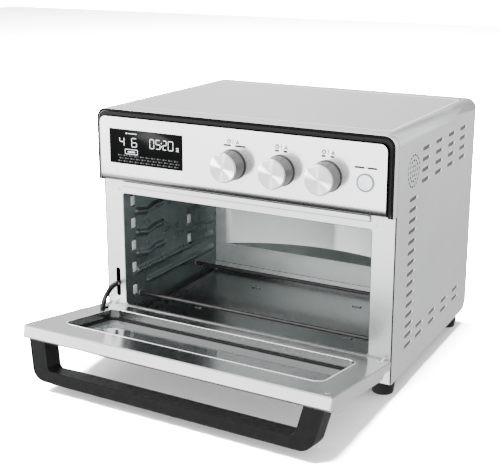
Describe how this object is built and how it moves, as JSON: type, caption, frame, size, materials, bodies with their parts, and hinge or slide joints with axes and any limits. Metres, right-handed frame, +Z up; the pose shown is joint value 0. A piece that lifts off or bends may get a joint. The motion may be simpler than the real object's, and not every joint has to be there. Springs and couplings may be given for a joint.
{
  "type": "countertop toaster oven",
  "caption": "Countertop convection oven in brushed steel with an open drop-down glass door, a bar handle, turned knobs and a digital display.",
  "frame": {"origin": "centre of the plane of the four feet, on the table", "axes": "+X to the right as seen from the front, +Y from the door towards the back, +Z up"},
  "size_m": [0.48, 0.5739, 0.378],
  "materials": {
    "case_steel": "satin brushed",
    "front_steel": "fine brushed",
    "panel_steel": "fine brushed, light",
    "bezel_chrome": "bright trim",
    "dark_sheet": "dark coated sheet",
    "cavity_wall": "smooth dark grey-green coating",
    "cavity_back": "smooth pale grey-green coating",
    "plain_steel": "plain sheet",
    "tray_steel": "dark polished sheet",
    "door_steel": "satin brushed",
    "door_inner": "satin brushed",
    "door_glass": "tinted, polished",
    "seal_rubber": "matte",
    "pale_silicone": "matte",
    "foot_rubber": "matte",
    "black_plastic": "fine texture",
    "handle_black": "satin black",
    "arm_black": "satin black",
    "display_black": "gloss",
    "circuit_board": "solder mask",
    "hardware_steel": "plated",
    "heater_sheath": "dark oxidised metal",
    "ceramic": "matte",
    "knob_aluminium": "turned, bright",
    "button_cap": "translucent white",
    "button_ring": "satin grey",
    "fan_aluminium": "plain"
  },
  "bodies": {
    "case": {"outer_case": "case_steel", "base_pan": "dark_sheet", "back_panel": "dark_sheet", "feet": "foot_rubber", "front_frame": "front_steel", "header_trim": "front_steel", "door_bumpers": "pale_silicone", "hinge_ears": "plain_steel", "panel_bezel": "bezel_chrome", "panel_carrier": "black_plastic", "control_panel": "panel_steel", "display_window": "display_black", "display_module": "black_plastic", "control_board": "circuit_board", "encoders": "hardware_steel", "knob_collars": "dark_sheet", "button_ring": "button_ring", "button_switch": "black_plastic", "cavity_left_wall": "cavity_wall", "cavity_right_wall": "cavity_wall", "cavity_ceiling": "cavity_wall", "cavity_back_wall": "cavity_back", "tray_rails": "dark_sheet", "wall_clips": "hardware_steel", "heater_lower_front": "heater_sheath", "heater_lower_rear": "heater_sheath", "heater_upper_front": "heater_sheath", "heater_upper_rear": "heater_sheath", "heater_insulators": "ceramic", "fan_housing": "dark_sheet", "fan_guard": "plain_steel", "fan_motor": "plain_steel", "cooling_fan_housing": "black_plastic", "power_board": "circuit_board", "temperature_probe": "hardware_steel", "cord_gland": "black_plastic", "rear_spacers": "black_plastic", "back_screws": "hardware_steel"},
    "door": {"door_outer_skin": "door_steel", "door_inner_panel": "door_inner", "door_glass": "door_glass", "glass_gasket": "seal_rubber", "handle": "handle_black", "handle_screws": "hardware_steel", "door_screws": "hardware_steel", "hinge_blocks": "plain_steel", "hinge_pins": "hardware_steel", "hinge_arm": "arm_black", "arm_rivet": "hardware_steel"},
    "knob_left": {"knob_left": "knob_aluminium", "shaft_left": "hardware_steel"},
    "knob_middle": {"knob_middle": "knob_aluminium", "shaft_middle": "hardware_steel"},
    "knob_right": {"knob_right": "knob_aluminium", "shaft_right": "hardware_steel"},
    "start_button": {"start_button": "button_cap"},
    "crumb_tray": {"crumb_tray": "tray_steel"},
    "convection_fan": {"convection_fan": "fan_aluminium"},
    "cooling_rotor": {"cooling_rotor": "black_plastic"}
  },
  "joints": [
    {"name": "door_hinge", "type": "hinge", "parent": "case", "child": "door", "pos_m": [0, -0.1785, 0.058], "axis": [-1, 0, 0], "range_deg": [0, 81]},
    {"name": "knob_left_turn", "type": "hinge", "parent": "case", "child": "knob_left", "pos_m": [0, -0.19, 0.316], "axis": [0, -1, 0], "continuous": true},
    {"name": "knob_middle_turn", "type": "hinge", "parent": "case", "child": "knob_middle", "pos_m": [0.076, -0.19, 0.316], "axis": [0, -1, 0], "continuous": true},
    {"name": "knob_right_turn", "type": "hinge", "parent": "case", "child": "knob_right", "pos_m": [0.146, -0.19, 0.316], "axis": [0, -1, 0], "continuous": true},
    {"name": "start_button_press", "type": "slide", "parent": "case", "child": "start_button", "axis": [0, 1, 0], "range_m": [0, 0.0014], "stiffness_N_per_m": 500},
    {"name": "crumb_tray_slide", "type": "slide", "parent": "case", "child": "crumb_tray", "axis": [0, -1, 0], "range_m": [0, 0.16]},
    {"name": "convection_fan_spin", "type": "hinge", "parent": "case", "child": "convection_fan", "pos_m": [0, -0.03, 0.26], "axis": [0, 0, 1], "continuous": true},
    {"name": "cooling_rotor_spin", "type": "hinge", "parent": "case", "child": "cooling_rotor", "pos_m": [0.219, -0.113, 0.318], "axis": [1, 0, 0], "continuous": true}
  ]
}
